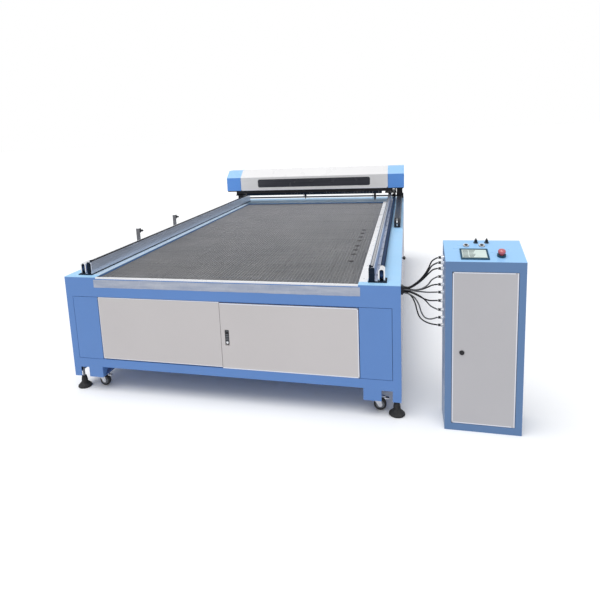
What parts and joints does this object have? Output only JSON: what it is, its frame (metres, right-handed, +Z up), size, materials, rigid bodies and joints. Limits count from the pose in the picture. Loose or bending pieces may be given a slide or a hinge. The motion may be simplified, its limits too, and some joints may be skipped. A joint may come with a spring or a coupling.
{
  "type": "gantry flatbed cutting machine",
  "caption": "Flatbed gantry cutting machine: blue cabinet with a honeycomb table, travelling twin-head gantry on belt-driven rails, and a free-standing control console on cables.",
  "frame": {"origin": "centre of the footprint of machine and console together, on the floor", "axes": "+Z up, +Y from the operator's side to the rear, along the gantry's travel; +X to the operator's right, along the gantry"},
  "size_m": [2.854, 4.019, 1.251],
  "materials": {
    "blue": "semi-gloss cornflower blue powder coat",
    "deck_blue": "semi-gloss light blue powder coat",
    "grey": "fine-textured warm light grey powder coat",
    "white": "semi-gloss white powder coat",
    "black": "black oxide and black paint",
    "steel": "zinc-plated and machined steel",
    "alu": "clear anodised extrusion",
    "comb": "black anodised honeycomb",
    "rubber": "black moulded rubber",
    "belt": "black toothed belt",
    "window": "smoked acrylic",
    "plastic": "black nylon",
    "red": "red moulded plastic",
    "green": "green moulded plastic",
    "cord": "black cable sheath"
  },
  "bodies": {
    "cabinet": {"frame": "blue", "deck": "deck_blue", "column_covers": "blue", "body_panels": "grey", "bed_edge_trim": "white", "honeycomb_bed": "comb", "rails": "alu", "rail_base_plates": "black", "tensioner_blocks": "steel", "y_belts": "belt", "y_drive_mounts": "black", "side_posts": "steel", "cable_gland": "plastic", "foot_pads": "rubber", "foot_stems": "steel", "console_body": "blue", "panel_fittings": "plastic", "cable_plugs": "steel", "cord_1": "cord", "cord_2": "cord", "cord_3": "cord", "cord_4": "cord", "cord_5": "cord", "cord_6": "cord", "cord_7": "cord", "cord_8": "cord", "cord_9": "cord", "cord_10": "cord"},
    "gantry": {"gantry_beam": "alu", "gantry_end_plates": "black", "gantry_cover": "white", "gantry_window": "window", "gantry_end_caps": "blue", "chain_run": "plastic"},
    "chain_loop": {"chain_loop": "plastic"},
    "head_left": {"head_left": "black"},
    "head_right": {"head_right": "black"},
    "nozzle_left": {"nozzle_left": "black"},
    "nozzle_right": {"nozzle_right": "black"},
    "y_idler_left": {"y_idler_left": "black"},
    "y_idler_right": {"y_idler_right": "black"},
    "y_shaft": {"y_shaft": "steel"},
    "door_left": {"door_left": "grey"},
    "door_right": {"door_right": "grey"},
    "latch_lever": {"latch_lever": "plastic"},
    "console_door": {"console_door": "grey"},
    "console_lock": {"console_lock": "black"},
    "estop_button": {"estop_button": "red"},
    "button_start": {"button_start": "green"},
    "button_stop": {"button_stop": "red"},
    "selector_left": {"selector_left": "plastic"},
    "selector_right": {"selector_right": "plastic"},
    "caster_fork_fl": {"caster_fork_fl": "steel"},
    "caster_wheel_fl": {"caster_wheel_fl": "rubber"},
    "caster_fork_fr": {"caster_fork_fr": "steel"},
    "caster_wheel_fr": {"caster_wheel_fr": "rubber"},
    "caster_fork_rl": {"caster_fork_rl": "steel"},
    "caster_wheel_rl": {"caster_wheel_rl": "rubber"},
    "caster_fork_rr": {"caster_fork_rr": "steel"},
    "caster_wheel_rr": {"caster_wheel_rr": "rubber"}
  },
  "joints": [
    {"name": "gantry_slide", "type": "slide", "parent": "cabinet", "child": "gantry", "axis": [0, 1, 0], "range_m": [-3, 0], "deforming": ["chain_run"]},
    {"name": "chain_loop_slide", "type": "slide", "parent": "cabinet", "child": "chain_loop", "axis": [0, 1, 0], "range_m": [-1.5, 0]},
    {"name": "y_idler_left_spin", "type": "hinge", "parent": "cabinet", "child": "y_idler_left", "pos_m": [-1.299, -1.8635, 0.8534], "axis": [1, 0, 0], "continuous": true},
    {"name": "y_idler_right_spin", "type": "hinge", "parent": "cabinet", "child": "y_idler_right", "pos_m": [0.685, -1.8635, 0.8534], "axis": [1, 0, 0], "continuous": true},
    {"name": "y_shaft_spin", "type": "hinge", "parent": "cabinet", "child": "y_shaft", "pos_m": [-0.307, 1.8375, 0.8534], "axis": [1, 0, 0], "continuous": true},
    {"name": "head_left_slide", "type": "slide", "parent": "gantry", "child": "head_left", "axis": [1, 0, 0], "range_m": [-0.76, 0.085]},
    {"name": "head_right_slide", "type": "slide", "parent": "gantry", "child": "head_right", "axis": [1, 0, 0], "range_m": [-0.76, 0.085]},
    {"name": "nozzle_left_focus", "type": "slide", "parent": "head_left", "child": "nozzle_left", "axis": [0, 0, 1], "range_m": [-0.03, 0.008]},
    {"name": "nozzle_right_focus", "type": "slide", "parent": "head_right", "child": "nozzle_right", "axis": [0, 0, 1], "range_m": [-0.012, 0.02]},
    {"name": "door_left_hinge", "type": "hinge", "parent": "cabinet", "child": "door_left", "pos_m": [-1.1605, -1.947, 0.459], "axis": [0, 0, -1], "range_deg": [0, 110]},
    {"name": "door_right_hinge", "type": "hinge", "parent": "cabinet", "child": "door_right", "pos_m": [0.5465, -1.947, 0.459], "axis": [0, 0, 1], "range_deg": [0, 110]},
    {"name": "latch_lever_hinge", "type": "hinge", "parent": "door_right", "child": "latch_lever", "pos_m": [-0.266, -1.9475, 0.49], "axis": [-1, 0, 0], "range_deg": [0, 50]},
    {"name": "console_door_hinge", "type": "hinge", "parent": "cabinet", "child": "console_door", "pos_m": [1.3835, -2.002, 0.4805], "axis": [0, 0, 1], "range_deg": [0, 110]},
    {"name": "console_lock_turn", "type": "hinge", "parent": "console_door", "child": "console_lock", "pos_m": [1.1145, -2.0075, 0.463], "axis": [0, -1, 0], "range_deg": [0, 90]},
    {"name": "estop_press", "type": "slide", "parent": "cabinet", "child": "estop_button", "axis": [0, 0.319, -0.9478], "range_m": [0, 0.005], "stiffness_N_per_m": 1500},
    {"name": "button_start_press", "type": "slide", "parent": "cabinet", "child": "button_start", "axis": [0, 0.319, -0.9478], "range_m": [0, 0.004], "stiffness_N_per_m": 600},
    {"name": "button_stop_press", "type": "slide", "parent": "cabinet", "child": "button_stop", "axis": [0, 0.319, -0.9478], "range_m": [0, 0.004], "stiffness_N_per_m": 600},
    {"name": "selector_left_turn", "type": "hinge", "parent": "cabinet", "child": "selector_left", "pos_m": [1.199, -1.81984, 1.03715], "axis": [0, -0.319, 0.9478], "range_deg": [-45, 45]},
    {"name": "selector_right_turn", "type": "hinge", "parent": "cabinet", "child": "selector_right", "pos_m": [1.255, -1.81984, 1.03715], "axis": [0, -0.319, 0.9478], "range_deg": [-45, 45]},
    {"name": "caster_swivel_fl", "type": "hinge", "parent": "cabinet", "child": "caster_fork_fl", "pos_m": [-1.257, -1.8605, 0.094], "axis": [0, 0, 1], "continuous": true},
    {"name": "caster_roll_fl", "type": "hinge", "parent": "caster_fork_fl", "child": "caster_wheel_fl", "pos_m": [-1.235, -1.8605, 0.04], "axis": [0, 1, 0], "continuous": true},
    {"name": "caster_swivel_fr", "type": "hinge", "parent": "cabinet", "child": "caster_fork_fr", "pos_m": [0.643, -1.8605, 0.094], "axis": [0, 0, 1], "continuous": true},
    {"name": "caster_roll_fr", "type": "hinge", "parent": "caster_fork_fr", "child": "caster_wheel_fr", "pos_m": [0.665, -1.8605, 0.04], "axis": [0, 1, 0], "continuous": true},
    {"name": "caster_swivel_rl", "type": "hinge", "parent": "cabinet", "child": "caster_fork_rl", "pos_m": [-1.257, 1.9155, 0.094], "axis": [0, 0, 1], "continuous": true},
    {"name": "caster_roll_rl", "type": "hinge", "parent": "caster_fork_rl", "child": "caster_wheel_rl", "pos_m": [-1.235, 1.9155, 0.04], "axis": [0, 1, 0], "continuous": true},
    {"name": "caster_swivel_rr", "type": "hinge", "parent": "cabinet", "child": "caster_fork_rr", "pos_m": [0.643, 1.9155, 0.094], "axis": [0, 0, 1], "continuous": true},
    {"name": "caster_roll_rr", "type": "hinge", "parent": "caster_fork_rr", "child": "caster_wheel_rr", "pos_m": [0.665, 1.9155, 0.04], "axis": [0, 1, 0], "continuous": true}
  ],
  "couplings": [
    {"joint": "chain_loop_slide", "follows": "gantry_slide", "ratio": 0.5},
    {"joint": "head_right_slide", "follows": "head_left_slide", "ratio": 1},
    {"joint": "y_idler_left_spin", "follows": "gantry_slide", "rad_per_m": -45.455},
    {"joint": "y_idler_right_spin", "follows": "gantry_slide", "rad_per_m": -45.455},
    {"joint": "y_shaft_spin", "follows": "gantry_slide", "rad_per_m": -45.455}
  ]
}
